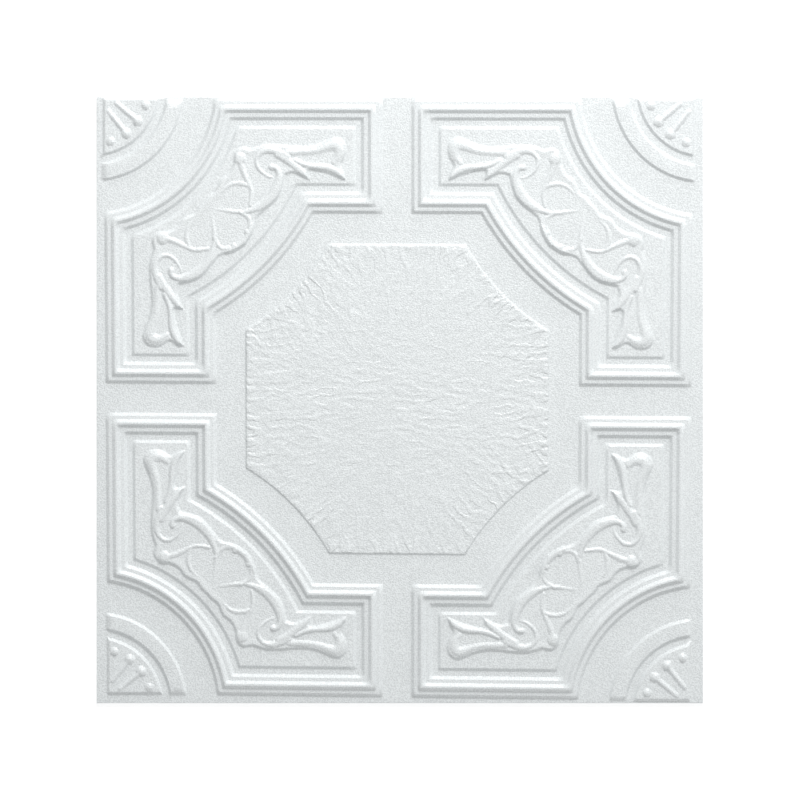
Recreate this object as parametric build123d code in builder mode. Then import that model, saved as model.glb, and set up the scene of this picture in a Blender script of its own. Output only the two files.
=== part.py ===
"""Embossed ceiling tile: one formed sheet of foamed plastic, lying relief up.

All sizes are millimetres. The origin is the middle of the flat back, +Z is the
relief side. The pattern repeats in the four quarters of the tile, turned by right
angles, and each quarter is the same on both sides of its diagonal. Points of a
quarter are given as (u, v): distances from the middle of the pattern towards the
tile's sides. Points of the ornament are given as distances in from the two long
sides of the frame that holds it.
"""
import os
from math import sqrt

from build123d import *

os.makedirs("parts", exist_ok=True)

# Sheet
TILE = 500.0  # side of the square
SHEET = 3.0  # thickness of the foamed sheet
RIM = 1.6  # flat edge that is left at the very least round the pattern

# Place of the formed pattern on the cut square: it lies a little off the middle and
# out of square, as the sheet cooled
SHIFT_X = -2.5
SHIFT_Y = 0.1
GROW_X = 0.99  # drawn a little short across
GROW_Y = 1.012  # and a little long up
LEAN = -0.0067  # rise of a line that should run level
KEYSTONE_X = -0.0055  # pattern widens towards one side
KEYSTONE_Y = -0.0075

# Stepped moulding that frames each quarter, lines at half height of the step
MARGIN = 7.3  # from the tile's edge to the frame
ARM = 90.6  # width of an arm of the frame
HALF_GAP = 13.2  # half the gap between two frames
CORNER_ARC = 106.4  # radius of the frame's arc round the corner
CORNER_ARC_OUT = 6.2  # its centre, out from the tile's edges
MIDDLE_ARC = 225.7  # radius of the frame's arc round the middle panel
MIDDLE_ARC_OUT = 15.3
STEP = 2.4  # height of one step of the moulding
SLOPE = 2.6  # width of the sloping side of a step
CREST_FROM = 5.4  # upper step starts this far in from the frame's outline
CREST_TO = 9.6  # upper step ends
LEDGE_TO = 15.3  # lower step ends

# Field inside the moulding
FIELD_FROM = 22.2  # edge, in from the frame's outline
FIELD = 1.8  # height
FIELD_DRAFT = 45.0

# Middle panel: eight-sided, its diagonal sides hollow
PANEL_GAP = 26.0  # from the frames to the panel
PANEL_SIDE = 113.4  # length of a straight side
PANEL_HOLLOW = 6.2  # depth of a hollow side
PANEL_RISE = 1.1
PANEL_EDGE = 0.7  # bevel of its edge

# Quarter disc and ring in each corner
CORNER_OUT = 2.9  # centre of both, out from the tile's edges
RING_OUT = 75.5
RING_IN = 62.5
RING_MARGIN = 4.4  # from the tile's edge to the end of the ring
DISC = 55.3
DISC_MARGIN = 6.4
RING_RISE = 2.2
RING_DRAFT = 40.0

# Scroll ornament on the field: a pad and, on it, ribs with sloping sides and round
# bosses; the pad's outline is a chain of arcs, ribs have their width at the foot
PAD = 1.5
PAD_MIDDLE_SIDE = [
    (117.3, 117.3),
    (108.8, 121.4),
    (100.4, 125.9),
    (93.1, 132.0),
    (84.9, 138.5),
    (73.6, 144.9),
    (61.2, 150.5),
]
PAD_SIDE_LEAF = [(61.2, 150.5), (58.9, 158.1), (64.2, 168.6)]
PAD_ARM = [(56.7, 169.7), (60.3, 185.7), (66.3, 200.7)]
PAD_END = [(66.3, 200.7), (58.2, 200.1), (50.4, 197.3), (38.9, 202.4), (29.7, 194.7)]
PAD_OUTSIDE = [(29.7, 194.7), (34.2, 177.7), (36.4, 152.0), (36.2, 135.0), (39.1, 121.2)]
PAD_BUD = [(39.1, 121.2), (41.5, 106.5), (59.1, 102.4)]
PAD_CORNER_SIDE = [(59.1, 102.4), (63.8, 97.7), (68.4, 93.7), (76.6, 89.8), (83.9, 83.9)]
RIB_DRAFT = 35.0
BOSS_SIDES = 10
SCROLL = [(90.1, 114.8), (83.5, 128.8), (74.6, 140.0), (62.8, 144.1), (54.8, 141.2)]
SCROLL_WIDTH = 4.6
SCROLL_RISE = 1.3
STALK = [(88.2, 120.5), (76.6, 122.3), (65.3, 118.5), (49.7, 112.4)]
STALK_WIDTH = 3.8
STALK_RISE = 1.1
BUD = (47.4, 112.1)  # boss at the end of the stalk
BUD_RADIUS = 5.4
BUD_RISE = 1.7
LEAF = [(60.6, 196.1), (55.0, 186.0), (50.9, 170.5), (45.3, 151.9)]
LEAF_WIDTH = 6.4
LEAF_RISE = 1.2
SIDE_LEAF = [(58.6, 164.8), (52.4, 156.9)]
SIDE_LEAF_WIDTH = 3.0
SIDE_LEAF_RISE = 0.8

# Two straight stamens on each corner disc, and a boss on either side of them
STAMEN = [(17.4, 27.3), (4.3, 8.0)]  # from its head to its foot
STAMEN_WIDTH = 3.4
STAMEN_RISE = 0.8
HEAD = 3.7
SIDE_BOSS = (4.6, 33.8)
SIDE_BOSS_RADIUS = 3.2
HEAD_RISE = 1.4

# Lines of the pattern that follow from these
half = TILE / 2
frame_out = half - MARGIN
frame_in = frame_out - ARM
panel = frame_in - PANEL_GAP
panel_meet = PANEL_SIDE / 2
panel_mid = (panel + panel_meet) / 2 - PANEL_HOLLOW / sqrt(2)
corner = half + CORNER_OUT


def at(u, v, turn, flip=False):
    """Place on the tile of a quarter's point, or of its mate across the diagonal."""
    if flip:
        u, v = v, u
    x, y = [(u, v), (-v, u), (-u, -v), (v, -u)][turn]
    widen = 1 + (KEYSTONE_X * x + KEYSTONE_Y * y) / half
    return (SHIFT_X + GROW_X * x / widen, SHIFT_Y + (GROW_Y * y + LEAN * x) / widen)


def inside(points, turn, flip):
    """Places of points given as distances in from the frame's long sides."""
    return [at(frame_out - a, frame_out - b, turn, flip) for a, b in points]


def arc_between(line, radius, centre, turn):
    """Arc of the frame from one straight side to the other, inside a line builder."""
    meet = centre - sqrt(radius**2 - (centre - line) ** 2)
    mid = centre - radius / sqrt(2)
    return ThreePointArc(at(meet, line, turn), at(mid, mid, turn), at(line, meet, turn))


def frame_outline(turn, inset=0.0):
    """Outline of the frame of one quarter, or a line inside it, in a line builder."""
    out = frame_out - inset
    inn = frame_in + inset
    end = HALF_GAP + inset
    middle = arc_between(inn, MIDDLE_ARC - inset, half + MIDDLE_ARC_OUT, turn)
    outer = arc_between(out, CORNER_ARC + inset, half + CORNER_ARC_OUT, turn)
    Polyline(outer @ 0, at(end, out, turn), at(end, inn, turn), middle @ 0)
    Polyline(middle @ 1, at(inn, end, turn), at(out, end, turn), outer @ 1)


def moulding(turn):
    """Stepped moulding round one quarter, added to the current part."""
    with BuildLine(mode=Mode.PRIVATE) as outline:
        frame_outline(turn)
    path = outline.wire()
    inward = Vector(0, 0, 1).cross(path % 0)
    with BuildSketch(Plane(origin=path @ 0, x_dir=inward, z_dir=path % 0)) as section:
        with BuildLine():
            Polyline(
                (-SLOPE / 2, 0),
                (SLOPE / 2, STEP),
                (CREST_FROM - SLOPE / 2, STEP),
                (CREST_FROM + SLOPE / 2, 2 * STEP),
                (CREST_TO - SLOPE / 2, 2 * STEP),
                (CREST_TO + SLOPE / 2, STEP),
                (LEDGE_TO - SLOPE / 2, STEP),
                (LEDGE_TO + SLOPE / 2, 0),
                close=True,
            )
        make_face()
    sweep(section.sketch, path=path, transition=Transition.RIGHT)


def field(turn):
    """Raised field inside the moulding, added to the current part."""
    with BuildSketch() as foot:
        with BuildLine():
            frame_outline(turn, FIELD_FROM - FIELD / 2)
        make_face()
    extrude(foot.sketch, amount=FIELD, taper=FIELD_DRAFT)


def corner_disc(radius, margin, turn):
    """Round piece of the corner, cut straight beside the tile's edges, in a sketch."""
    with Locations(at(corner, corner, turn)):
        Circle(radius)
    reach = at(half - margin, half - margin, turn)
    across, up = (max(RIM - half, min(half - RIM, side)) for side in reach)
    with Locations((across / 2, up / 2)):
        Rectangle(abs(across), abs(up), mode=Mode.INTERSECT)


def rib(points, turn, flip, width, rise, base=0.0):
    """Raised rib along a run of arcs, added to the current part.

    The band is remade from its outline, so that its face looks up.
    """
    spots = inside(points, turn, flip)
    with BuildSketch(Plane.XY.offset(base)) as band:
        with BuildLine():
            run = ThreePointArc(*spots[:3])
            for here, there in zip(spots[2:], spots[3:]):
                run = TangentArc(here, there, tangent=run % 1)
        trace(line_width=width)
    extrude(Face(band.sketch.face().outer_wire()), amount=rise, taper=RIB_DRAFT)


def straight_rib(ends, turn, flip, width, rise, base=0.0):
    """Raised rib from one point straight to another, added to the current part."""
    start, end = (Vector(*spot) for spot in inside(ends, turn, flip))
    run = end - start
    lie = Vector(1, 0, 0).get_signed_angle(run, Vector(0, 0, 1))
    with BuildSketch(Plane.XY.offset(base)) as band:
        with Locations((start + end) / 2):
            Rectangle(run.length, width, rotation=lie)
    extrude(band.sketch, amount=rise, taper=RIB_DRAFT)


def boss(point, turn, flip, radius, rise, base=0.0):
    """Round boss of a few flat sloping sides, added to the current part."""
    with BuildSketch(Plane.XY.offset(base)) as foot:
        with Locations(*inside([point], turn, flip)):
            RegularPolygon(radius, BOSS_SIDES)
    extrude(foot.sketch, amount=rise, taper=RIB_DRAFT)


def arc_chain(points, turn, flip):
    """Arcs through every first, second and third point, inside a line builder."""
    spots = inside(points, turn, flip)
    for first, middle, last in zip(spots[::2], spots[1::2], spots[2::2]):
        ThreePointArc(first, middle, last)


def pad_outline(turn, flip):
    """Outline of the pad on one side of the diagonal, inside a line builder."""
    arc_chain(PAD_MIDDLE_SIDE, turn, flip)
    arc_chain(PAD_SIDE_LEAF, turn, flip)
    Line(*inside([PAD_SIDE_LEAF[-1], PAD_ARM[0]], turn, flip))
    arc_chain(PAD_ARM, turn, flip)
    arc_chain(PAD_END, turn, flip)
    arc_chain(PAD_OUTSIDE, turn, flip)
    arc_chain(PAD_BUD, turn, flip)
    arc_chain(PAD_CORNER_SIDE, turn, flip)


# Large forms, standing on z = 0; they are seen on both faces
with BuildPart() as forms:
    for turn in range(4):
        moulding(turn)
        field(turn)
        with BuildSketch():
            corner_disc(RING_OUT, RING_MARGIN, turn)
            with Locations(at(corner, corner, turn)):
                Circle(RING_IN, mode=Mode.SUBTRACT)
        extrude(amount=RING_RISE, taper=RING_DRAFT)
        with BuildSketch():
            corner_disc(DISC, DISC_MARGIN, turn)
        extrude(amount=RING_RISE, taper=RING_DRAFT)

# Scroll ornament of each quarter; the field it stands on is z = 0
ornaments = []
for turn in range(4):
    with BuildPart() as ornament:
        with BuildSketch():
            with BuildLine():
                pad_outline(turn, False)
                pad_outline(turn, True)
            make_face()
        extrude(amount=PAD)
        for flip in (False, True):
            rib(SCROLL, turn, flip, SCROLL_WIDTH, SCROLL_RISE, PAD)
            rib(STALK, turn, flip, STALK_WIDTH, STALK_RISE, PAD)
            rib(LEAF, turn, flip, LEAF_WIDTH, LEAF_RISE, PAD)
            straight_rib(SIDE_LEAF, turn, flip, SIDE_LEAF_WIDTH, SIDE_LEAF_RISE, PAD)
            boss(BUD, turn, flip, BUD_RADIUS, BUD_RISE, PAD)
    ornaments.append(ornament.part)

# Stamens of the corner discs; the disc's face is z = 0
with BuildPart() as stamens:
    for turn in range(4):
        for flip in (False, True):
            straight_rib(STAMEN, turn, flip, STAMEN_WIDTH, STAMEN_RISE)
            boss(STAMEN[0], turn, flip, HEAD, HEAD_RISE)
            boss(SIDE_BOSS, turn, flip, SIDE_BOSS_RADIUS, HEAD_RISE)

# Middle panel; it is low enough to leave the back of the sheet flat
with BuildPart() as middle_panel:
    with BuildSketch():
        with BuildLine():
            for turn in range(4):
                start = at(panel_meet, panel, turn)
                end = at(panel, panel_meet, turn)
                ThreePointArc(start, at(panel_mid, panel_mid, turn), end)
                Line(end, at(panel_meet, panel, turn - 1))
        make_face()
    extrude(amount=PANEL_RISE)
    chamfer(middle_panel.faces().sort_by(Axis.Z)[-1].edges(), length=PANEL_EDGE)

# The tile
with BuildPart() as tile:
    Box(TILE, TILE, SHEET, align=(Align.CENTER, Align.CENTER, Align.MIN))
    with Locations((0, 0, SHEET)):
        add(forms.part)
        add(middle_panel.part)
    add(forms.part, mode=Mode.SUBTRACT)
    with Locations((0, 0, SHEET + FIELD)):
        add(ornaments)
    with Locations((0, 0, SHEET + RING_RISE)):
        add(stamens.part)

tile.part.label = "ceiling_tile"
export_step(tile.part, "parts/ceiling_tile.step")
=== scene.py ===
"""Embossed ceiling tile of foamed plastic: the formed sheet, its finish and a stage.

The relief is worked out in millimetres on the same pattern as the solid part. Points
of a quarter are (u, v), distances from the middle of the pattern towards the tile's
sides, and points of the ornament are distances in from the frame's two long sides.
"""
from math import atan2, cos, hypot, pi, sin, sqrt

import bpy
import numpy as np
from bpy.props import FloatProperty, FloatVectorProperty, PointerProperty
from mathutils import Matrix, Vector
from mathutils.geometry import delaunay_2d_cdt


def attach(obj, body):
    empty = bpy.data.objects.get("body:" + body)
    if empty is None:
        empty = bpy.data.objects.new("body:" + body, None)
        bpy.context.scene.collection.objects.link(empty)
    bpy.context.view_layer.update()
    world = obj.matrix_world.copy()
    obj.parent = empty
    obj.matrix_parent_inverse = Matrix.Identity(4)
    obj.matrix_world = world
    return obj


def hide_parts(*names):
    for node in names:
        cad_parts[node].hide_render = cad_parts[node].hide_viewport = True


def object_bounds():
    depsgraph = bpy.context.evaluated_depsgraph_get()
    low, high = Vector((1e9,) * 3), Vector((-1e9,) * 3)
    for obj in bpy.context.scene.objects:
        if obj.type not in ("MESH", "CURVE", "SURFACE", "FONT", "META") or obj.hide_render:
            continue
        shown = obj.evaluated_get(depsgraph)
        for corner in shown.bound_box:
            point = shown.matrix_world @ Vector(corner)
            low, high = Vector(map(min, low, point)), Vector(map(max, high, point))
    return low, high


bl_info = {
    "name": "Embossed Ceiling Tile",
    "version": (1, 0, 0),
    "blender": (4, 5, 0),
    "location": "View3D > Sidebar > Ceiling Tile",
    "description": "Formed foam ceiling tile with stepped frames and a scroll ornament",
    "category": "Object",
}

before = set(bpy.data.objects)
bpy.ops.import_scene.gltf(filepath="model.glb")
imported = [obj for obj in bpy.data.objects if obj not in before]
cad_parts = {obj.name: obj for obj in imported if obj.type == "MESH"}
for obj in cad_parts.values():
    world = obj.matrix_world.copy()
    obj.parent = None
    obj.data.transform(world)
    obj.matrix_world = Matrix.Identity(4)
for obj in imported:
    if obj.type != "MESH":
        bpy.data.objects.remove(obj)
CAD_BOX = [[float(c) for c in corner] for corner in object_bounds()]
MM = 0.001
QUARTERS = [(1, 1), (-1, 1), (-1, -1), (1, -1)]

# Ribs of the ornament: distances in from the frame's long sides, half width, height
SCROLL = [
    (91.5, 113.2, 1.8, 0.8), (89.4, 121.6, 2.8, 1.35), (86.0, 129.6, 4.2, 1.9),
    (80.4, 136.8, 4.8, 2.25), (74.4, 141.2, 4.8, 2.35), (68.4, 143.8, 4.2, 2.15),
    (62.4, 145.0, 3.4, 1.9), (57.4, 144.0, 2.7, 1.75), (54.6, 141.3, 2.6, 1.8),
    (54.4, 138.1, 2.6, 1.9),
]
STEM = [
    (45.7, 151.9, 3.4, 2.07), (43.4, 146.8, 3.6, 1.98), (41.2, 140.6, 3.6, 1.71),
    (40.8, 135.4, 3.2, 1.53), (43.0, 129.9, 2.6, 1.26), (47.8, 126.4, 2.2, 1.08),
    (53.3, 126.8, 2.0, 0.99), (58.1, 130.3, 1.8, 0.9), (61.6, 135.4, 1.5, 0.63),
    (62.8, 139.6, 1.2, 0.36),
]
LEAF_BODY = [
    (62.6, 198.8, 2.4, 1.4), (57.4, 192.0, 3.2, 1.9), (54.6, 183.5, 3.0, 1.9),
    (54.0, 174.0, 2.8, 1.8), (52.2, 165.5, 2.6, 1.6), (49.0, 158.0, 2.4, 1.6),
]
LEAF_LOBE = [
    (50.6, 190.6, 2.6, 0.9), (45.8, 194.0, 3.8, 1.3), (40.0, 194.6, 5.0, 1.7),
    (36.6, 191.4, 5.2, 1.8), (37.8, 185.4, 4.2, 1.4), (40.4, 178.3, 3.4, 1.1),
    (41.8, 170.5, 3.2, 1.0), (42.2, 161.2, 3.2, 1.0), (42.6, 151.9, 3.4, 1.3),
]
SIDE_LEAF = [
    (64.4, 170.6, 1.8, 0.7), (60.4, 166.6, 3.0, 1.4), (56.2, 161.6, 3.8, 1.7),
    (52.2, 156.6, 4.0, 1.8), (47.8, 150.4, 3.8, 1.9), (44.4, 143.6, 3.4, 1.9),
]
STALK = [
    (85.5, 120.6, 1.8, 0.9), (79.3, 121.6, 2.0, 0.9), (73.1, 121.6, 2.0, 0.9),
    (66.9, 119.1, 2.2, 0.9), (60.8, 116.3, 2.6, 0.9), (54.6, 113.8, 3.0, 1.08),
    (47.6, 112.1, 3.2, 1.44),
]
PETAL_SIDE = [
    (69.8, 119.6, 1.8, 0.72), (68.0, 114.8, 2.2, 0.81), (67.6, 108.6, 2.2, 0.81),
    (69.4, 102.8, 2.0, 0.72), (73.1, 98.3, 1.8, 0.45), (76.6, 95.2, 1.5, 0.18),
]
PETAL_SPLIT = [
    (90.7, 112.3, 2.2, 1.08), (90.5, 106.6, 2.0, 0.72), (89.6, 100.4, 1.8, 0.45),
    (88.8, 93.1, 1.4, 0.14),
]
PETAL_FRONT = [
    (90.7, 111.9, 2.2, 1.08), (93.8, 117.7, 2.2, 0.81), (98.3, 120.6, 2.4, 0.81),
    (103.5, 120.6, 3.0, 1.08),
]
PETAL_RIM = [
    (100.4, 123.5, 2.6, 0.81), (105.5, 121.4, 3.6, 1.62), (110.3, 118.9, 3.8, 1.8),
    (115.2, 115.2, 3.8, 1.71),
]
RIBS = [
    SCROLL, STEM, LEAF_BODY, LEAF_LOBE, SIDE_LEAF, STALK,
    PETAL_SIDE, PETAL_SPLIT, PETAL_FRONT, PETAL_RIM,
]
# Round bosses of the ornament: place, radius, height
BOSSES = [(47.4, 112.1, 5.6, 1.9), (107.2, 118.6, 3.0, 1.7), (54.6, 139.0, 2.8, 1.5)]
# Outline of the pad on one side of its diagonal, in smooth runs that meet at corners
PAD_OUTLINE = [
    [(117.3, 117.3), (107.7, 123.2), (96.0, 126.8), (90.6, 132.4), (81.0, 143.4), (72.3, 147.8),
     (61.2, 150.5)],
    [(61.2, 150.5), (60.0, 157.6), (65.6, 170.6)],
    [(65.6, 170.6), (56.9, 170.8), (60.3, 185.7), (65.6, 200.7)],
    [(65.6, 200.7), (59.0, 199.4), (52.6, 196.6), (47.0, 199.8), (40.6, 201.4), (33.6, 199.6),
     (29.6, 193.0), (31.4, 185.4), (34.8, 177.6), (37.0, 168.0), (37.0, 158.0), (35.8, 146.0),
     (35.8, 133.0), (39.1, 121.2)],
    [(39.1, 121.2), (38.0, 113.6), (42.4, 107.8), (52.6, 105.8), (59.6, 101.8), (64.4, 95.6),
     (73.4, 91.4), (77.6, 86.0), (82.0, 82.0)],
]
# Stamens of the corner disc, as ribs, and the heads on them and beside them
STAMENS = [[(17.4, 27.3, 2.7, 1.4), (10.4, 18.6, 2.7, 1.4), (3.0, 9.6, 2.5, 1.0)]]
HEADS = [(17.4, 27.3, 4.5, 2.0), (4.6, 33.8, 3.9, 1.7)]

# Soft edges, in millimetres: how far in the middle of the slope lies, and its width
RING_EDGE = (0.0, 2.8)
RING_END = (1.5, 4.5)
PANEL_EDGE = (0.0, 1.8)
PAD_EDGE = (1.2, 2.6)
RIB_EDGE = (0.8, 2.8)
LIP_OUTSIDE = (1.6, 3.2)
LIP_INSIDE = (5.5, 5.0)
STAMEN_END = (1.5, 2.0)
# Share of a slope that is rounded at its foot and at its head
SLOPE_BEND = 0.25
# Width of the slope at the field's edge, as a share of the slope of a step
FIELD_SLOPE = 0.9
# Roundness of ribs and bosses: the higher, the more pointed
RIB_ROUND = 1.4
BOSS_ROUND = 0.9
# How sharply ribs and bosses meet, and how sharply the ornament's height is held down
ORNAMENT_BLEND = 5
STAMEN_BLEND = 4
CAP_BLEND = 6
# Points of a smooth run between two given points, and the least width and height of a rib
RUN_PARTS = 8
LEAST_RIB = 0.05

# Mesh lines across a slope, in millimetres from its middle, on the face and on the back
STEP_LINES = (-1.65, -1.0, -0.4, 0.4, 1.0, 1.65)
CORNER_LINES = (-1.4, -0.85, -0.3, 0.3, 0.85, 1.4)
PANEL_LINES = (-0.9, -0.4, 0.4, 0.9)
BACK_STEP_LINES = (-1.6, -0.8, 0.8, 1.6)
BACK_CORNER_LINES = (-1.3, -0.5, 0.5, 1.3)
# Mesh points along the tile's sides and the frame's eight sides, and the back's share of these
SIDE_POINTS = 60
FRAME_POINTS = (22, 14, 9, 36, 9, 14, 22, 30)
BACK_SHARE = 0.55
# Spacing of the mesh points in millimetres: along lines, then over flats, stamens and back
CORNER_SPACING, BACK_CORNER_SPACING = 2.4, 5.0
PANEL_SPACING, END_SPACING = 3.0, 1.6
FLAT_SPACING, STAMEN_SPACING, BACK_SPACING = 9.0, 1.25, 24.0
# Clear space, in millimetres, between the points over an area and the lines beside it
EDGE_CLEAR, BACK_EDGE_CLEAR = 6.0, 10.0
FRAME_CLEAR, FIELD_CLEAR, BACK_FRAME_CLEAR = 4.0, 5.0, 8.0
RING_CLEAR, FORM_CLEAR = 3.5, 3.0
PANEL_CLEAR, PAD_CLEAR, ORNAMENT_CLEAR = 1.2, -1.2, 2.3
DISC_CLEAR, DISC_END_CLEAR = 2.0, 1.8
# Where the lines of a corner piece stop before its straight ends, and how far those ends run on
END_CLEAR, END_SLACK, END_REACH = 0.4, 1.0, 4.0
# Step at which a slope is measured for shading, and the smallest distance that counts, in millimetres
SLOPE_STEP = 0.12
TINY = 1e-4
MOST_TRIANGLES = 200000


class SheetSettings(bpy.types.PropertyGroup):
    """Sizes of the formed sheet."""

    side: FloatProperty(
        name="Side", description="Side of the square tile", unit="LENGTH",
        default=CAD_BOX[1][0] - CAD_BOX[0][0])
    sheet: FloatProperty(
        name="Thickness", description="Thickness of the foamed sheet", unit="LENGTH", default=0.003)
    edge: FloatProperty(
        name="Edge", description="Rounding of the tile's cut edge", unit="LENGTH", default=0.0005)
    rim: FloatProperty(
        name="Rim", description="Flat rim beside the corner pieces", unit="LENGTH", default=0.0016)
    shift: FloatVectorProperty(
        name="Shift", description="Place of the pattern on the cut square", size=2,
        unit="LENGTH", default=(-0.0025, 0.0001))
    grow: FloatVectorProperty(
        name="Draw", description="Pattern's scale across and up", size=2, default=(0.99, 1.012))
    lean: FloatProperty(
        name="Lean", description="Rise of a line that should run level", default=-0.0067)
    keystone: FloatVectorProperty(
        name="Keystone", description="How the pattern widens across and up", size=2,
        default=(-0.0055, -0.0075))
    margin: FloatProperty(
        name="Margin", description="From the tile's edge to a frame", unit="LENGTH", default=0.0073)
    arm: FloatProperty(
        name="Arm", description="Width of an arm of the frame", unit="LENGTH", default=0.0906)
    half_gap: FloatProperty(
        name="Half gap", description="Half the gap between two frames", unit="LENGTH", default=0.0132)
    corner_arc: FloatProperty(
        name="Corner arc", description="Radius of the frame's arc round the corner",
        unit="LENGTH", default=0.1064)
    corner_arc_out: FloatProperty(
        name="Corner arc's centre", description="Out from the tile's edges", unit="LENGTH", default=0.0062)
    middle_arc: FloatProperty(
        name="Middle arc", description="Radius of the frame's arc round the middle panel",
        unit="LENGTH", default=0.2257)
    middle_arc_out: FloatProperty(
        name="Middle arc's centre", description="Out from the tile's edges", unit="LENGTH", default=0.0153)
    step: FloatProperty(
        name="Step", description="Height of one step of the moulding", unit="LENGTH", default=0.0024)
    slope: FloatProperty(
        name="Slope", description="Width of the soft side of a step", unit="LENGTH", default=0.0033)
    crest: FloatProperty(
        name="Crest", description="Where the moulding's crest begins", unit="LENGTH", default=0.0054)
    crest_end: FloatProperty(
        name="Crest's end", description="Where the moulding's crest ends", unit="LENGTH", default=0.0096)
    ledge_end: FloatProperty(
        name="Ledge's end", description="Where the moulding's inner ledge ends", unit="LENGTH",
        default=0.0153)
    field_edge: FloatProperty(
        name="Field's edge", description="Where the field inside the moulding begins", unit="LENGTH",
        default=0.0222)
    field: FloatProperty(
        name="Field", description="Height of the field inside the moulding", unit="LENGTH", default=0.0018)
    panel_gap: FloatProperty(
        name="Panel gap", description="From the frames to the middle panel", unit="LENGTH", default=0.026)
    panel_side: FloatProperty(
        name="Panel side", description="Length of a straight side of the panel", unit="LENGTH",
        default=0.1134)
    panel_hollow: FloatProperty(
        name="Panel hollow", description="Depth of a hollow side of the panel", unit="LENGTH", default=0.0062)
    panel_rise: FloatProperty(
        name="Panel rise", description="Height of the panel", unit="LENGTH", default=0.0011)
    corner_out: FloatProperty(
        name="Corner's centre", description="Centre of ring and disc, out from the tile's edges",
        unit="LENGTH", default=0.0029)
    ring_out: FloatProperty(
        name="Ring outside", description="Outer radius of the corner ring", unit="LENGTH", default=0.0755)
    ring_in: FloatProperty(
        name="Ring inside", description="Inner radius of the corner ring", unit="LENGTH", default=0.0625)
    ring_end: FloatProperty(
        name="Ring's end", description="From the ring's ends to the tile's edges", unit="LENGTH",
        default=0.0044)
    disc: FloatProperty(
        name="Disc", description="Radius of the corner disc", unit="LENGTH", default=0.0553)
    disc_end: FloatProperty(
        name="Disc's end", description="From the disc's straight sides to the tile's edges",
        unit="LENGTH", default=0.0064)
    ring_rise: FloatProperty(
        name="Ring rise", description="Height of the corner ring and disc", unit="LENGTH", default=0.0022)
    pad: FloatProperty(
        name="Pad", description="Height of the pad under the ornament", unit="LENGTH", default=0.0015)
    lip: FloatProperty(
        name="Lip", description="Height of the soft lip round the pad", unit="LENGTH", default=0.0004)
    fine: FloatProperty(
        name="Fine mesh", description="Spacing of the mesh on the ornament", unit="LENGTH", default=0.00105)
    coarse: FloatProperty(
        name="Panel mesh", description="Spacing of the mesh on the panel", unit="LENGTH", default=0.002)


class FinishSettings(bpy.types.PropertyGroup):
    """Look of the foam."""

    white: FloatVectorProperty(
        name="White", description="Colour of the foam", subtype="COLOR", size=3,
        min=0, max=1, default=(0.820, 0.855, 0.862))
    white_low: FloatVectorProperty(
        name="Shaded white", description="Colour of the foam's darker grain", subtype="COLOR", size=3,
        min=0, max=1, default=(0.668, 0.698, 0.704))
    roughness: FloatProperty(
        name="Roughness", description="Roughness of the skin", subtype="FACTOR", min=0, max=1, default=0.37)
    roughness_spread: FloatProperty(
        name="Roughness spread", description="How much the grain changes the roughness", default=0.16)
    gloss: FloatProperty(
        name="Gloss", description="Strength of the skin's mirroring", subtype="FACTOR",
        min=0, max=1, default=1.0)
    ior: FloatProperty(
        name="IOR", description="Index of refraction of the skin", default=1.45)
    grain: FloatProperty(
        name="Grain", description="Width of one grain of the skin", unit="LENGTH", default=0.0011)
    grain_depth: FloatProperty(
        name="Grain depth", description="Height of the grain", unit="LENGTH", default=0.00044)
    grain_tone: FloatProperty(
        name="Grain tone", description="Contrast of the grain's colour", default=3.8)
    cloud: FloatProperty(
        name="Cloud", description="Width of the soft clouds in the colour", unit="LENGTH", default=0.03)
    cloud_tone: FloatProperty(
        name="Cloud tone", description="Contrast of the clouds", default=0.4)
    crinkle: FloatProperty(
        name="Crinkle", description="Spacing of the folds on the middle panel", unit="LENGTH", default=0.0075)
    crinkle_sharp: FloatProperty(
        name="Crinkle sharpness", description="How narrow a fold is beside its spacing", default=7.5)
    crinkle_depth: FloatProperty(
        name="Crinkle depth", description="Height of the folds on the middle panel", unit="LENGTH",
        default=0.00044)
    crinkle_stretch: FloatProperty(
        name="Crinkle stretch", description="Width of a fold as a share of its length", default=0.3)
    crinkle_sway: FloatProperty(
        name="Crinkle sway", description="How far the folds wind", unit="LENGTH", default=0.006)
    crinkle_level: FloatProperty(
        name="Level crinkles", description="Strength of the folds along X in the middle", default=1.0)
    crinkle_middle: FloatProperty(
        name="Crinkle middle", description="Reach of the middle, where the level folds run",
        unit="LENGTH", default=0.055)
    crinkle_rim: FloatProperty(
        name="Rim crinkles", description="How much stronger the folds are at the panel's rim", default=2.0)
    crinkle_rim_reach: FloatProperty(
        name="Rim reach", description="How far the stronger folds run in from the rim", unit="LENGTH",
        default=0.013)
    crinkle_fade: FloatProperty(
        name="Crinkle fade", description="Width in which the folds begin at the rim", unit="LENGTH",
        default=0.0015)


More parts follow.
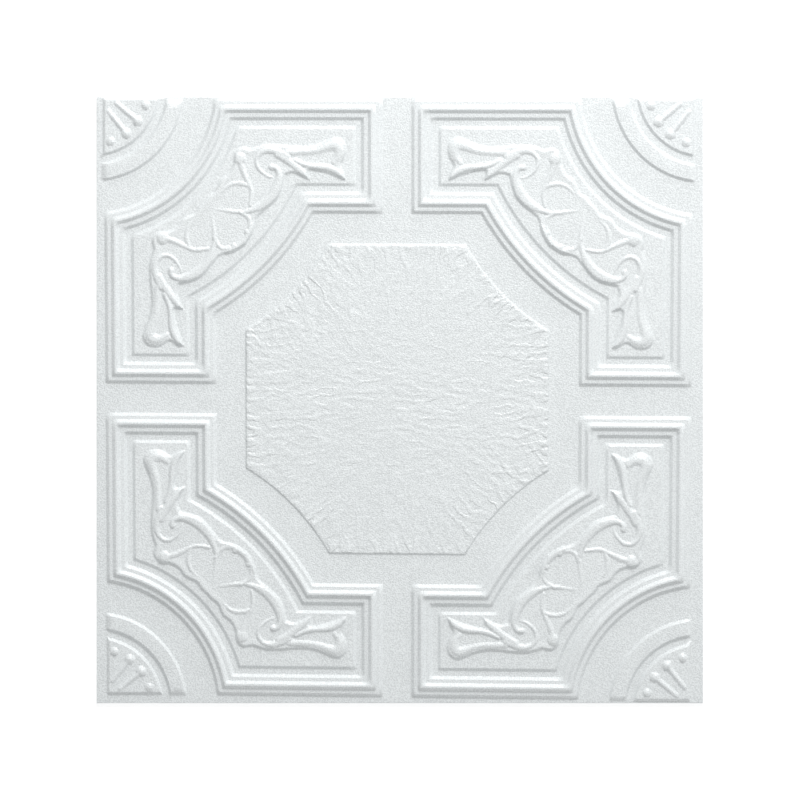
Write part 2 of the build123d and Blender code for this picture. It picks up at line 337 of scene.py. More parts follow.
class StageSettings(bpy.types.PropertyGroup):
    """Floor, lights and camera."""

    floor: FloatVectorProperty(
        name="Floor", description="Colour of the floor", subtype="COLOR", size=3,
        min=0, max=1, default=(0.95, 0.95, 0.95))
    floor_roughness: FloatProperty(
        name="Floor roughness", description="Roughness of the floor", subtype="FACTOR",
        min=0, max=1, default=0.9)
    floor_glow: FloatProperty(
        name="Floor glow", description="Light of the floor itself, as on a light table", default=0.4)
    floor_half: FloatProperty(
        name="Floor half side", description="Half the side of the floor", unit="LENGTH", default=20.0)
    floor_drop: FloatProperty(
        name="Floor drop", description="How far the floor lies below the tile", unit="LENGTH",
        default=0.0002)
    sky: FloatProperty(
        name="Sky", description="Strength of the even light", default=0.555)
    key: FloatProperty(
        name="Key light", description="Power of the large soft light", unit="POWER", default=20.5)
    key_place: FloatVectorProperty(
        name="Key place", description="Where the large soft light stands", size=3,
        unit="LENGTH", default=(0.34, 1.34, 1.12))
    key_size: FloatProperty(
        name="Key size", description="Width of the large soft light", unit="LENGTH", default=0.5)
    side: FloatProperty(
        name="Side light", description="Strength of the weak light from one side", default=0.26)
    side_from: FloatVectorProperty(
        name="Side light from", description="Where the weak side light comes from", size=3,
        default=(0.82, 0.0, 0.57))
    low: FloatProperty(
        name="Low light", description="Strength of the light that grazes the relief", default=0.5)
    low_from: FloatVectorProperty(
        name="Low light from", description="Where the grazing light comes from", size=3,
        default=(0.2, 1.0, 0.27))
    soft: FloatProperty(
        name="Softness", description="Spread of the side light and the low light", subtype="ANGLE",
        default=0.5)
    view_width: FloatProperty(
        name="View width", description="Width of the floor that the picture takes in",
        unit="LENGTH", default=0.66007)
    camera_height: FloatProperty(
        name="Camera height", description="Height of the camera", unit="LENGTH", default=6.0)
    camera_reach: FloatProperty(
        name="Camera reach", description="How far the camera sees", unit="LENGTH", default=100.0)


class TileSettings(bpy.types.PropertyGroup):
    """All settings of the tile."""

    sheet: PointerProperty(type=SheetSettings)
    finish: PointerProperty(type=FinishSettings)
    stage: PointerProperty(type=StageSettings)


def rise(inside, at, width):
    """Ramp from 0 to 1 across an edge, rounded at foot and head, with its middle a distance in."""
    t = np.clip((inside - at) / width + 0.5, 0.0, 1.0)
    near = np.minimum(t, 1.0 - t)
    bent = near * near / (2 * SLOPE_BEND)
    part = np.where(near < SLOPE_BEND, bent, near - SLOPE_BEND / 2) / (1.0 - SLOPE_BEND)
    return np.where(t < 0.5, part, 1.0 - part)


def smooth_run(given):
    """Points on a smooth curve through the given points of a rib or an outline."""
    p = np.array(given, float)
    p = np.vstack([2 * p[0] - p[1], p, 2 * p[-1] - p[-2]])
    t = np.linspace(0, 1, RUN_PARTS, endpoint=False)[:, None]
    runs = []
    for a, b, c, d in zip(p, p[1:], p[2:], p[3:]):
        bend = 2 * a - 5 * b + 4 * c - d + t * (3 * (b - c) + d - a)
        runs.append(b + 0.5 * t * (c - a + t * bend))
    runs.append(p[-2:-1])
    run = np.vstack(runs)
    run[:, 2:] = np.maximum(run[:, 2:], LEAST_RIB)
    return run


def nearest(start, stop, a, b):
    """Share of a straight run at its point nearest to each place, and the distance to that point."""
    run = stop[:2] - start[:2]
    share = ((a - start[0]) * run[0] + (b - start[1]) * run[1]) / (run[0] ** 2 + run[1] ** 2)
    share = np.clip(share, 0.0, 1.0)
    return share, np.hypot(a - start[0] - share * run[0], b - start[1] - share * run[1])


def outline_depth(outline, a, b):
    """How far inside the pad's outline a point lies, folded over the diagonal."""
    a, b = np.minimum(a, b), np.maximum(a, b)
    away = np.full(a.shape, np.inf)
    within = np.zeros(a.shape, bool)
    closing = len(outline) - 1
    for i, (start, stop) in enumerate(zip(outline, np.roll(outline, -1, axis=0))):
        run = stop - start
        if run[1] != 0.0:
            over = (start[1] > b) != (stop[1] > b)
            within ^= over & (a < start[0] + (b - start[1]) * run[0] / run[1])
        # The closing run lies on the diagonal and is no edge of the pad
        if i != closing:
            away = np.minimum(away, nearest(start, stop, a, b)[1])
    return np.where(within, away, -away)


def rib_height(run, a, b):
    """Height of a rib with a rounded top."""
    height = np.zeros(a.shape)
    reach = run[:, 2].max()
    low = run[:, :2].min(0) - reach
    high = run[:, :2].max(0) + reach
    near = np.nonzero((a > low[0]) & (a < high[0]) & (b > low[1]) & (b < high[1]))[0]
    best = np.zeros(near.size)
    for start, stop in zip(run, run[1:]):
        share, away = nearest(start, stop, a[near], b[near])
        width = start[2] + share * (stop[2] - start[2])
        crown = start[3] + share * (stop[3] - start[3])
        best = np.maximum(best, crown * np.clip(1.0 - (away / width) ** 2, 0.0, 1.0) ** RIB_ROUND)
    height[near] = best
    return height


def boss_height(boss, a, b):
    """Height of a round boss."""
    away = np.hypot(a - boss[0], b - boss[1])
    return boss[3] * np.clip(1.0 - (away / boss[2]) ** 2, 0.0, 1.0) ** BOSS_ROUND


def carving(runs, bosses, blend, a, b):
    """Height of ribs and bosses that run into each other, alike on both sides of the diagonal."""
    total = np.zeros(a.shape)
    for across, up in ((a, b), (b, a)):
        for run in runs:
            total += rib_height(run, across, up) ** blend
        for boss in bosses:
            total += boss_height(boss, across, up) ** blend
    return total ** (1 / blend)


def arc_through(side, meet, middle):
    """Centre, on the diagonal, and radius of the panel's hollow side."""
    centre = (side**2 + meet**2 - 2 * middle**2) / (2 * (side + meet) - 4 * middle)
    return centre, hypot(side - centre, meet - centre)


class Relief:
    """Heights of the formed sheet, in millimetres."""

    def __init__(self, sizes):
        self.half = sizes.side / MM / 2
        self.sheet = sizes.sheet / MM
        self.edge = sizes.edge / MM
        self.rim = sizes.rim / MM
        self.shift = [c / MM for c in sizes.shift]
        self.grow = list(sizes.grow)
        self.lean = sizes.lean
        self.keystone = list(sizes.keystone)

        self.gap = sizes.half_gap / MM
        self.outer = self.half - sizes.margin / MM
        self.inner = self.outer - sizes.arm / MM
        self.corner_arc = sizes.corner_arc / MM
        self.corner_arc_at = self.half + sizes.corner_arc_out / MM
        self.middle_arc = sizes.middle_arc / MM
        self.middle_arc_at = self.half + sizes.middle_arc_out / MM
        self.step = sizes.step / MM
        self.slope = sizes.slope / MM
        self.crest = sizes.crest / MM
        self.crest_end = sizes.crest_end / MM
        self.ledge_end = sizes.ledge_end / MM
        self.field_edge = sizes.field_edge / MM
        self.field = sizes.field / MM

        self.panel = self.inner - sizes.panel_gap / MM
        self.panel_meet = sizes.panel_side / MM / 2
        middle = (self.panel + self.panel_meet) / 2 - sizes.panel_hollow / MM / sqrt(2)
        self.panel_arc_at, self.panel_arc = arc_through(self.panel, self.panel_meet, middle)
        self.panel_rise = sizes.panel_rise / MM

        self.corner = self.half + sizes.corner_out / MM
        self.ring_out = sizes.ring_out / MM
        self.ring_in = sizes.ring_in / MM
        self.ring_end = self.half - sizes.ring_end / MM
        self.disc = sizes.disc / MM
        self.disc_end = self.half - sizes.disc_end / MM
        self.ring_rise = sizes.ring_rise / MM

        self.pad = sizes.pad / MM
        self.lip = sizes.lip / MM
        self.tallest = CAD_BOX[1][2] / MM - self.sheet - self.field - self.pad
        runs = [smooth_run(run)[:-1] for run in PAD_OUTLINE]
        self.outline = np.vstack(runs + [[PAD_OUTLINE[-1][-1]]])
        self.ribs = [smooth_run(rib) for rib in RIBS]
        self.stamens = [smooth_run(stamen) for stamen in STAMENS]

    def pattern(self, x, y):
        """Pattern point of a place on the tile."""
        x, y = x - self.shift[0], y - self.shift[1]
        kx, ky = self.keystone[0] / self.half, self.keystone[1] / self.half
        a, b = self.grow[0] - x * kx, -x * ky
        c, d = self.lean - y * kx, self.grow[1] - y * ky
        spread_out = a * d - b * c
        return (x * d - b * y) / spread_out, (a * y - c * x) / spread_out

    def quarter(self, x, y):
        """Pattern point of a place on the tile, folded into one quarter."""
        x, y = self.pattern(x, y)
        return np.abs(x), np.abs(y)

    def place(self, u, v, su, sv):
        """Place on the tile of a pattern point in one of the quarters."""
        x, y = su * u, sv * v
        widen = 1.0 + (self.keystone[0] * x + self.keystone[1] * y) / self.half
        return (self.shift[0] + self.grow[0] * x / widen,
                self.shift[1] + (self.grow[1] * y + self.lean * x) / widen)

    def frame_depth(self, u, v):
        """How far in from the frame's outline a point lies, with mitred corners."""
        from_middle = np.hypot(u - self.middle_arc_at, v - self.middle_arc_at)
        from_corner = np.hypot(u - self.corner_arc_at, v - self.corner_arc_at)
        inner = np.maximum(np.maximum(u, v) - self.inner, self.middle_arc - from_middle)
        outer = np.minimum(self.outer - np.maximum(u, v), from_corner - self.corner_arc)
        return np.minimum(np.minimum(inner, outer), np.minimum(u, v) - self.gap)

    def panel_depth(self, u, v):
        """How far in from the middle panel's outline a point lies."""
        arc = np.hypot(u - self.panel_arc_at, v - self.panel_arc_at) - self.panel_arc
        return np.minimum(self.panel - np.maximum(u, v), arc)

    def pad_depth(self, u, v):
        """How far in from the outline of the ornament's pad a point lies."""
        return outline_depth(self.outline, self.outer - u, self.outer - v)

    def from_corner(self, u, v):
        """Distance from the centre of the corner ring and disc."""
        return np.hypot(u - self.corner, v - self.corner)

    def reach(self, end, su, sv):
        """Place where the straight ends of a corner piece meet."""
        limit = self.half - self.rim
        return [max(-limit, min(limit, c)) for c in self.place(end, end, su, sv)]

    def ends(self, x, y, end):
        """How far a corner piece still is from its straight ends beside the tile's edges."""
        px, py = self.pattern(x, y)
        left = np.zeros(x.shape)
        for su, sv in QUARTERS:
            on = (px * su >= 0) & (py * sv >= 0)
            rx, ry = self.reach(end, su, sv)
            left[on] = np.minimum(su * (rx - x[on]), sv * (ry - y[on]))
        return left

    def forms(self, x, y):
        """Large forms, which both faces of the sheet follow: they are also the hollowed back."""
        u, v = self.quarter(x, y)
        depth = self.frame_depth(u, v)
        up = rise(depth, 0.0, self.slope) + rise(depth, self.crest, self.slope)
        down = rise(depth, self.crest_end, self.slope) + rise(depth, self.ledge_end, self.slope)
        z = self.step * (up - down) + self.field * rise(depth, self.field_edge, self.slope * FIELD_SLOPE)
        away = self.from_corner(u, v)
        ring = rise(np.minimum(self.ring_out - away, away - self.ring_in), *RING_EDGE)
        ring = ring * rise(self.ends(x, y, self.ring_end), *RING_END)
        disc = np.minimum(self.disc - away, self.ends(x, y, self.disc_end))
        return z + self.ring_rise * (ring + rise(disc, *RING_EDGE))

    def ornament(self, u, v):
        """Height of the pad with its lip, ribs and bosses."""
        ribs = carving(self.ribs, BOSSES, ORNAMENT_BLEND, self.outer - u, self.outer - v)
        ribs = ribs / (1.0 + (ribs / self.tallest) ** CAP_BLEND) ** (1 / CAP_BLEND)
        deep = self.pad_depth(u, v)
        lip = self.lip * (rise(deep, *LIP_OUTSIDE) - rise(deep, *LIP_INSIDE))
        return self.pad * rise(deep, *PAD_EDGE) + np.maximum(ribs * rise(deep, *RIB_EDGE), lip)

    def top(self, x, y):
        """Height of the face."""
        u, v = self.quarter(x, y)
        z = self.sheet + self.forms(x, y)
        z += self.panel_rise * rise(self.panel_depth(u, v), *PANEL_EDGE)
        on = self.frame_depth(u, v) > self.field_edge
        if on.any():
            z[on] += self.ornament(u[on], v[on])
        on = self.from_corner(u, v) < self.disc
        if on.any():
            stamens = carving(self.stamens, HEADS, STAMEN_BLEND, self.outer - u[on], self.outer - v[on])
            z[on] += stamens * rise(self.ends(x[on], y[on], self.disc_end), *STAMEN_END)
        edge = self.half - np.maximum(np.abs(x), np.abs(y))
        drop = self.edge - np.clip(edge, 0.0, self.edge)
        return z - (self.edge - np.sqrt(np.maximum(self.edge**2 - drop**2, 0.0)))


class Plan:
    """Points and fixed edges of one face, seen from above."""

    def __init__(self):
        self.points = []
        self.edges = []

    def add(self, x, y):
        """Loose points."""
        first = len(self.points)
        self.points.extend(zip(map(float, x), map(float, y)))
        return first

    def line(self, x, y, closed=False):
        """Points joined in a row."""
        first = self.add(x, y)
        last = first + len(x) - 1
        self.edges.extend((i, i + 1) for i in range(first, last))
        if closed:
            self.edges.append((last, first))
        return first

    def triangles(self):
        """The face as triangles that face up: plan points and their corners."""
        result = delaunay_2d_cdt([Vector(p) for p in self.points], self.edges, [], 0, 1e-5, True)
        points = np.array([(p[0], p[1]) for p in result[0]])
        corners = np.array(list(result[2]), dtype=int)
        p, q, t = (points[corners[:, k]] for k in range(3))
        area = (q[:, 0] - p[:, 0]) * (t[:, 1] - p[:, 1]) - (q[:, 1] - p[:, 1]) * (t[:, 0] - p[:, 0])
        corners[area < 0] = corners[area < 0][:, ::-1]
        return points, corners[np.abs(area) > 1e-9]


def spread(half, spacing):
    """Evenly staggered points over a square."""
    rows = np.arange(-half, half, spacing * sqrt(3) / 2)
    cols = np.arange(-half, half, spacing)
    x, y = np.meshgrid(cols, rows)
    x = x + (np.arange(len(rows)) % 2)[:, None] * spacing / 2
    return x.ravel(), y.ravel()


def square_loop(half):
    """Points round a square."""
    t = np.linspace(-half, half, SIDE_POINTS, endpoint=False)
    h = np.full(t.shape, half)
    return np.concatenate([t, h, -t, -h]), np.concatenate([-h, t, h, -t])


def frame_loop(tile, depth, share):
    """Outline of a frame, a distance in, and where its eight corners stand in it."""
    outer, inner, end = tile.outer - depth, tile.inner + depth, tile.gap + depth
    corner_arc, middle_arc = tile.corner_arc + depth, tile.middle_arc - depth
    outside = tile.corner_arc_at - sqrt(corner_arc**2 - (tile.corner_arc_at - outer) ** 2)
    inside = tile.middle_arc_at - sqrt(middle_arc**2 - (tile.middle_arc_at - inner) ** 2)
    corners = [
        (outside, outer), (end, outer), (end, inner), (inside, inner),
        (inner, inside), (inner, end), (outer, end), (outer, outside),
    ]
    arcs = {3: (tile.middle_arc_at, middle_arc), 7: (tile.corner_arc_at, corner_arc)}
    loop, marks = [], []
    for i, count in enumerate(FRAME_POINTS):
        (u0, v0), (u1, v1) = corners[i], corners[(i + 1) % len(corners)]
        marks.append(len(loop))
        t = np.linspace(0, 1, int(count * share), endpoint=False)
        if i in arcs:
            at, radius = arcs[i]
            start = atan2(v0 - at, u0 - at) % (2 * pi)
            stop = atan2(v1 - at, u1 - at) % (2 * pi)
            angle = start + t * (stop - start)
            loop += list(zip(at + radius * np.cos(angle), at + radius * np.sin(angle)))
        else:
            loop += list(zip(u0 + t * (u1 - u0), v0 + t * (v1 - v0)))
    return np.array(loop), marks


def add_frames(plan, tile, lines, share):
    """Lines of the four frames' mouldings."""
    steps = (0.0, tile.crest, tile.crest_end, tile.ledge_end, tile.field_edge)
    for su, sv in QUARTERS:
        before = None
        for depth in [step + line for step in steps for line in lines]:
            loop, marks = frame_loop(tile, depth, share)
            first = plan.line(*tile.place(loop[:, 0], loop[:, 1], su, sv), closed=True)
            if before is not None:
                plan.edges.extend((before + mark, first + mark) for mark in marks)
            before = first


def add_corners(plan, tile, lines, spacing):
    """Lines of the corner rings and discs."""
    pieces = (
        ((tile.ring_in, tile.ring_out), tile.ring_in, tile.ring_end),
        ((tile.disc,), 0.0, tile.disc_end),
    )
    for su, sv in QUARTERS:
        cx, cy = tile.place(tile.corner, tile.corner, su, sv)
        for radii, start, end in pieces:
            stop = radii[-1]
            rx, ry = tile.reach(end, su, sv)
            for line in lines:
                for radius in radii:
                    around = radius + line
                    angle = np.linspace(pi, 1.5 * pi, int(around * pi / 2 / spacing))
                    u = tile.corner + around * np.cos(angle)
                    v = tile.corner + around * np.sin(angle)
                    x, y = tile.place(u, v, su, sv)
                    keep = tile.ends(x, y, end) > END_CLEAR
                    plan.line(x[keep], y[keep])
                run = np.arange(line, stop + END_REACH, END_SPACING)
                for x, y in ((np.full(run.shape, rx - su * line), ry - sv * run),
                             (rx - su * run, np.full(run.shape, ry - sv * line))):
                    away = np.hypot(x - cx, y - cy)
                    keep = (away > start - END_SLACK) & (away < stop + END_SLACK)
                    plan.add(x[keep], y[keep])


def add_panel(plan, tile, lines, spacing):
    """Lines along the middle panel's edge."""
    at = tile.panel_arc_at
    for line in lines:
        side = tile.panel - line
        radius = tile.panel_arc + line
        meet = at - sqrt(radius**2 - (at - side) ** 2)
        start = atan2(side - at, meet - at) % (2 * pi)
        stop = atan2(meet - at, side - at) % (2 * pi)
        angle = np.linspace(start, stop, int(radius * abs(stop - start) / spacing))
        u, v = at + radius * np.cos(angle), at + radius * np.sin(angle)
        loop = []
        for su, sv in QUARTERS:
            arc = list(zip(*tile.place(u, v, su, sv)))
            loop += arc if su * sv < 0 else arc[::-1]
        full = []
        for (x0, y0), (x1, y1) in zip(loop, loop[1:] + loop[:1]):
            count = max(1, int(hypot(x1 - x0, y1 - y0) / spacing))
            full += [(x0 + (x1 - x0) * k / count, y0 + (y1 - y0) * k / count) for k in range(count)]
        full = np.array(full)
        plan.line(full[:, 0], full[:, 1], closed=True)


def face_plan(tile, sizes):
    """Plan of the relief face."""
    plan = Plan()
    for inset in (0.0, tile.edge * 0.5, tile.edge):
        plan.line(*square_loop(tile.half - inset), closed=True)
    add_frames(plan, tile, STEP_LINES, 1.0)
    add_corners(plan, tile, CORNER_LINES, CORNER_SPACING)
    add_panel(plan, tile, PANEL_LINES, PANEL_SPACING)

    x, y = spread(tile.half - EDGE_CLEAR, FLAT_SPACING)
    u, v = tile.quarter(x, y)
    depth = tile.frame_depth(u, v)
    away = tile.from_corner(u, v)
    flat = (depth < -FRAME_CLEAR) | (depth > tile.field_edge + FIELD_CLEAR)
    flat &= np.abs(away - tile.ring_out) > RING_CLEAR
    flat &= np.abs(away - tile.ring_in) > FORM_CLEAR
    flat &= away > tile.disc + FORM_CLEAR
    flat &= tile.panel_depth(u, v) < -FORM_CLEAR
    plan.add(x[flat], y[flat])

    x, y = spread(tile.half, sizes.coarse / MM)
    on = tile.panel_depth(*tile.quarter(x, y)) > PANEL_CLEAR
    plan.add(x[on], y[on])

    x, y = spread(tile.half, sizes.fine / MM)
    on = tile.frame_depth(*tile.quarter(x, y)) > tile.field_edge + ORNAMENT_CLEAR
    x, y = x[on], y[on]
    on = tile.pad_depth(*tile.quarter(x, y)) > PAD_CLEAR
    plan.add(x[on], y[on])

    x, y = spread(tile.half, STAMEN_SPACING)
    on = tile.from_corner(*tile.quarter(x, y)) < tile.disc - DISC_CLEAR
    on &= tile.ends(x, y, tile.disc_end) > DISC_END_CLEAR
    plan.add(x[on], y[on])
    return plan


def back_plan(tile):
    """Plan of the hollowed back."""
    plan = Plan()
    plan.line(*square_loop(tile.half), closed=True)
    add_frames(plan, tile, BACK_STEP_LINES, BACK_SHARE)
    add_corners(plan, tile, BACK_CORNER_LINES, BACK_CORNER_SPACING)
    x, y = spread(tile.half - BACK_EDGE_CLEAR, BACK_SPACING)
    depth = tile.frame_depth(*tile.quarter(x, y))
    on = (depth < -BACK_FRAME_CLEAR) | (depth > tile.field_edge + BACK_FRAME_CLEAR)
    plan.add(x[on], y[on])
    return plan


def slopes(height, points, limit):
    """Upward unit normals of a height over plan points."""
    x, y = points[:, 0], points[:, 1]
    xa, xb = (np.clip(x + step, -limit, limit) for step in (-SLOPE_STEP, SLOPE_STEP))
    ya, yb = (np.clip(y + step, -limit, limit) for step in (-SLOPE_STEP, SLOPE_STEP))
    gx = (height(xb, y) - height(xa, y)) / (xb - xa)
    gy = (height(x, yb) - height(x, ya)) / (yb - ya)
    up = np.stack([-gx, -gy, np.ones(len(x))], 1)
    return up / np.linalg.norm(up, axis=1)[:, None]


def rim_order(points, half):
    """Points on the tile's outline, in order round it."""
    on = np.nonzero(np.maximum(np.abs(points[:, 0]), np.abs(points[:, 1])) > half - TINY)[0]
    angle = np.arctan2(points[on, 1], points[on, 0])
    return on[np.argsort(angle)]


def fold_strength(tile, finish, points):
    """Strength of the folds at plan points: none off the panel, and most near its rim."""
    inside = tile.panel_depth(*tile.quarter(points[:, 0], points[:, 1])) * MM
    near_rim = np.exp(-np.maximum(inside, 0.0) / finish.crinkle_rim_reach)
    return np.clip(inside / finish.crinkle_fade, 0.0, 1.0) * (1 + finish.crinkle_rim * near_rim)


def sheet_mesh(tile, sizes, finish):
    """Closed mesh of the sheet: face, back and the cut sides between them."""
    face, face_corners = face_plan(tile, sizes).triangles()
    back, back_corners = back_plan(tile).triangles()
    high, low = rim_order(face, tile.half), rim_order(back, tile.half) + len(face)
    if len(high) != len(low):
        raise RuntimeError("the two faces of the sheet don't meet at its edge")
    side = np.column_stack([low, np.roll(low, -1), np.roll(high, -1), high])
    sides = np.vstack([side[:, [0, 1, 2]], side[:, [0, 2, 3]]])
    corners = np.vstack([face_corners, back_corners[:, ::-1] + len(face), sides])
    if len(corners) >= MOST_TRIANGLES:
        raise RuntimeError(f"the sheet has {len(corners)} triangles")
    face_points = np.column_stack([face, tile.top(face[:, 0], face[:, 1])])
    back_points = np.column_stack([back, tile.forms(back[:, 0], back[:, 1])])
    points = np.vstack([face_points, back_points]) * MM

    mesh = bpy.data.meshes.new("formed_sheet")
    mesh.from_pydata(points.tolist(), [], corners.tolist())
    mesh.polygons.foreach_set("use_smooth", [True] * len(corners))
    normals = np.vstack([slopes(tile.top, face, tile.half), -slopes(tile.forms, back, tile.half)])
    corner_normals = normals[corners]
    ends = points[sides]
    flat = np.cross(ends[:, 1] - ends[:, 0], ends[:, 2] - ends[:, 0])
    corner_normals[-len(sides):] = (flat / np.linalg.norm(flat, axis=1)[:, None])[:, None, :]
    mesh.normals_split_custom_set(corner_normals.reshape(-1, 3).tolist())
    strength = np.zeros(len(points))
    strength[:len(face)] = fold_strength(tile, finish, face)
    mesh.attributes.new("panel", "FLOAT", "POINT").data.foreach_set("value", strength)
    mesh.update()
    if mesh.validate(verbose=False):
        raise RuntimeError("the sheet's mesh had stray faces")
    return mesh


class TILE_OT_formed_sheet(bpy.types.Operator):
    """Build the formed foam sheet with its relief, hollow back and finish"""

    bl_idname = "tile.formed_sheet"
    bl_label = "Formed Sheet"

    def execute(self, context):
        settings = context.scene.ceiling_tile
        mesh = sheet_mesh(Relief(settings.sheet), settings.sheet, settings.finish)
        sheet = bpy.data.objects.new("formed_sheet", mesh)
        context.collection.objects.link(sheet)
        mesh.materials.append(foam_finish(settings.finish))
        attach(sheet, "root")
        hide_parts("ceiling_tile")
        return {"FINISHED"}


class Val:
    """A number socket that can be used in Python arithmetic."""

    def __init__(self, shop, socket):
        self.shop = shop
        self.socket = socket

    def math(self, operation, a, b):
        """One Math node on two numbers or sockets."""
        made = self.shop.node("ShaderNodeMath", {"operation": operation}, {0: a, 1: b})
        return Val(self.shop, made.outputs[0])

    def __add__(self, other):
        return self.math("ADD", self, other)

    __radd__ = __add__

    def __mul__(self, other):
        return self.math("MULTIPLY", self, other)

    __rmul__ = __mul__

    def __sub__(self, other):
        return self.math("SUBTRACT", self, other)

    def __rsub__(self, other):
        return self.math("SUBTRACT", other, self)

    def __truediv__(self, other):
        return self.math("DIVIDE", self, other)

    def __rtruediv__(self, other):
        return self.math("DIVIDE", other, self)

    def most(self, other):
        """The larger of two numbers."""
        return self.math("MAXIMUM", self, other)


class Shop:
    """Adds nodes to one material."""

    def __init__(self, material):
        material.use_nodes = True
        self.tree = material.node_tree
        self.tree.nodes.clear()

    def node(self, kind, settings=None, inputs=None):
        """One node: its settings first, then its sockets' values or links."""
        made = self.tree.nodes.new(kind)
        for name, value in (settings or {}).items():
            setattr(made, name, value)
        for name, value in (inputs or {}).items():
            socket = made.inputs[name]
            if isinstance(value, Val):
                value = value.socket
            if isinstance(value, bpy.types.NodeSocket):
                self.tree.links.new(value, socket)
            else:
                socket.default_value = value
        return made

    def vector(self, operation, *inputs):
        """Vector arithmetic on sockets or plain vectors; a dot product comes back as a number."""
        made = self.node("ShaderNodeVectorMath", {"operation": operation}, dict(enumerate(inputs)))
        if operation == "DOT_PRODUCT":
            return Val(self, made.outputs["Value"])
        return made.outputs["Vector"]

    def noise(self, where, size, detail=1.0):
        """Cloudy noise with features of about one size, in metres: its node."""
        return self.node("ShaderNodeTexNoise", {}, {"Vector": where, "Scale": 1 / size, "Detail": detail})

    def clouds(self, where, size, detail=1.0):
        """Cloudy noise as a number from 0 to 1."""
        return Val(self, self.noise(where, size, detail).outputs["Fac"])


def folds(shop, where, finish):
    """Narrow rounded ridges that wind through a place, from 0 to 1."""
    level = (shop.clouds(where, finish.crinkle, 0.0) - 0.5) * finish.crinkle_sharp
    return (1 - level * level).most(0.0)


def crinkles(shop, where, finish):
    """Short wavy folds on the middle panel, as a height in metres.

    Folds are drawn in four directions. Each place takes those that point away from the
    middle, and the middle itself takes those along X.
    """
    sway = shop.noise(where, finish.crinkle).outputs["Color"]
    sway = shop.vector("SUBTRACT", sway, (0.5, 0.5, 0.5))
    bent = shop.vector("MULTIPLY_ADD", sway, (finish.crinkle_sway, finish.crinkle_sway, 0.0), where)
    place = shop.node("ShaderNodeSeparateXYZ", {}, {0: where})
    x, y = (Val(shop, place.outputs[axis]) for axis in "XY")
    far = x * x + y * y + finish.crinkle_middle**2
    straight, slant = (x * x - y * y) / far, 2 * x * y / far
    level = finish.crinkle_middle**2 / far * finish.crinkle_level
    shares = [pointing.most(0.0) for pointing in (straight, slant, -1 * straight, -1 * slant)]
    shares[0] = shares[0] + level
    total = 0.0
    for step, share in enumerate(shares):
        turn = step * pi / 4
        along = shop.vector("DOT_PRODUCT", bent, (cos(turn), sin(turn), 0.0))
        across = shop.vector("DOT_PRODUCT", bent, (-sin(turn), cos(turn), 0.0))
        spot = {"X": along * finish.crinkle_stretch, "Y": across, "Z": step}
        spot = shop.node("ShaderNodeCombineXYZ", {}, spot).outputs[0]
        total = folds(shop, spot, finish) * share + total
    return total * shop.clouds(where, finish.crinkle * 2) * finish.crinkle_depth


def foam_finish(finish):
    """Pearly white skin of foamed plastic, with a fine grain."""
    material = bpy.data.materials.new("foam_skin")
    shop = Shop(material)
    where = shop.node("ShaderNodeTexCoord").outputs["Object"]
    grain = shop.clouds(where, finish.grain)
    clouds = shop.clouds(where, finish.cloud, 2.0)
    panel = shop.node("ShaderNodeAttribute", {"attribute_name": "panel"}).outputs["Fac"]
    height = grain * finish.grain_depth + crinkles(shop, where, finish) * panel
    bump = shop.node("ShaderNodeBump", {}, {"Strength": 1.0, "Distance": 1.0, "Height": height})
    tone = (grain - 0.5) * finish.grain_tone + (clouds - 0.5) * finish.cloud_tone + 0.5
    colour = shop.node(
        "ShaderNodeMix", {"data_type": "RGBA"},
        {"Factor": tone, 6: (*finish.white_low, 1.0), 7: (*finish.white, 1.0)})
    roughness = finish.roughness + (grain - 0.5) * finish.roughness_spread
    skin = shop.node(
        "ShaderNodeBsdfPrincipled", {},
        {"Base Color": colour.outputs[2], "Roughness": roughness, "Specular IOR Level": finish.gloss,
         "IOR": finish.ior, "Normal": bump.outputs["Normal"]})
    shop.node("ShaderNodeOutputMaterial", {}, {"Surface": skin.outputs["BSDF"]})
    return material


def floor_paint(stage):
    """Plain white floor that gives off a little light."""
    material = bpy.data.materials.new("floor_paint")
    shop = Shop(material)
    skin = shop.node(
        "ShaderNodeBsdfPrincipled", {},
        {"Base Color": (*stage.floor, 1.0), "Roughness": stage.floor_roughness,
         "Specular IOR Level": 0.0, "Emission Color": (1.0, 1.0, 1.0, 1.0),
         "Emission Strength": stage.floor_glow})
    shop.node("ShaderNodeOutputMaterial", {}, {"Surface": skin.outputs["BSDF"]})
    return material


def pointed_at_tile(place):
    """Turn of a light that stands at a place and shines on the tile."""
    return (-Vector(place)).to_track_quat("-Z", "Y").to_euler()


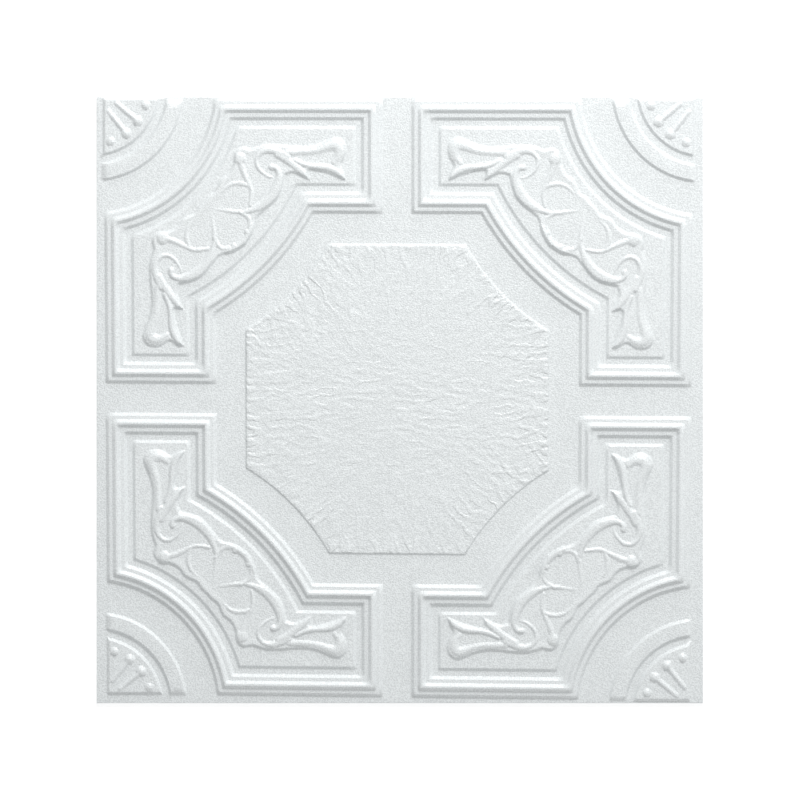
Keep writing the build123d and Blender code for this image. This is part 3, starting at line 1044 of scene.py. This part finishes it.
class TILE_OT_stage(bpy.types.Operator):
    """Set the pale floor, the soft light and the camera that looks straight down"""

    bl_idname = "tile.stage"
    bl_label = "Stage"

    def execute(self, context):
        scene = context.scene
        stage = scene.ceiling_tile.stage
        mesh = bpy.data.meshes.new("floor")
        corners = [(su * stage.floor_half, sv * stage.floor_half, 0.0) for su, sv in QUARTERS]
        mesh.from_pydata(corners, [], [(0, 1, 2, 3)])
        mesh.materials.append(floor_paint(stage))
        floor = bpy.data.objects.new("floor", mesh)
        floor.location.z = -stage.floor_drop
        context.collection.objects.link(floor)

        world = bpy.data.worlds.new("studio")
        world.use_nodes = True
        backdrop = world.node_tree.nodes["Background"]
        backdrop.inputs["Color"].default_value = (1.0, 1.0, 1.0, 1.0)
        backdrop.inputs["Strength"].default_value = stage.sky
        scene.world = world

        lamp = bpy.data.lights.new("key", "AREA")
        lamp.shape = "DISK"
        lamp.size = stage.key_size
        lamp.energy = stage.key
        key = bpy.data.objects.new("key", lamp)
        key.location = stage.key_place
        key.rotation_euler = pointed_at_tile(stage.key_place)
        context.collection.objects.link(key)

        suns = (("side", stage.side, stage.side_from), ("low", stage.low, stage.low_from))
        for name, strength, come_from in suns:
            lamp = bpy.data.lights.new(name, "SUN")
            lamp.angle = stage.soft
            lamp.energy = strength
            sun = bpy.data.objects.new(name, lamp)
            sun.rotation_euler = pointed_at_tile(come_from)
            context.collection.objects.link(sun)

        lens = bpy.data.cameras.new("camera")
        lens.lens = lens.sensor_width * stage.camera_height / stage.view_width
        lens.clip_end = stage.camera_reach
        camera = bpy.data.objects.new("camera", lens)
        camera.location = (0.0, 0.0, stage.camera_height)
        context.collection.objects.link(camera)
        scene.camera = camera
        scene.view_settings.view_transform = "Standard"
        return {"FINISHED"}


class TILE_PT_panel(bpy.types.Panel):
    """Sizes and finish of the ceiling tile"""

    bl_idname = "TILE_PT_panel"
    bl_label = "Ceiling Tile"
    bl_space_type = "VIEW_3D"
    bl_region_type = "UI"
    bl_category = "Ceiling Tile"

    def draw(self, context):
        settings = context.scene.ceiling_tile
        for group in (settings.sheet, settings.finish, settings.stage):
            box = self.layout.box()
            for name in group.__annotations__:
                box.prop(group, name)
        self.layout.operator(TILE_OT_formed_sheet.bl_idname)
        self.layout.operator(TILE_OT_stage.bl_idname)


CLASSES = (
    SheetSettings, FinishSettings, StageSettings, TileSettings,
    TILE_OT_formed_sheet, TILE_OT_stage, TILE_PT_panel,
)


def register():
    """Make the settings, operators and panel known."""
    for cls in CLASSES:
        bpy.utils.register_class(cls)
    bpy.types.Scene.ceiling_tile = PointerProperty(type=TileSettings)


def unregister():
    """Take them away again."""
    del bpy.types.Scene.ceiling_tile
    for cls in reversed(CLASSES):
        bpy.utils.unregister_class(cls)


def main():
    """Build the tile and its stage."""
    register()
    bpy.ops.tile.formed_sheet()
    bpy.ops.tile.stage()
    bpy.context.view_layer.update()


if __name__ == "__main__":
    main()
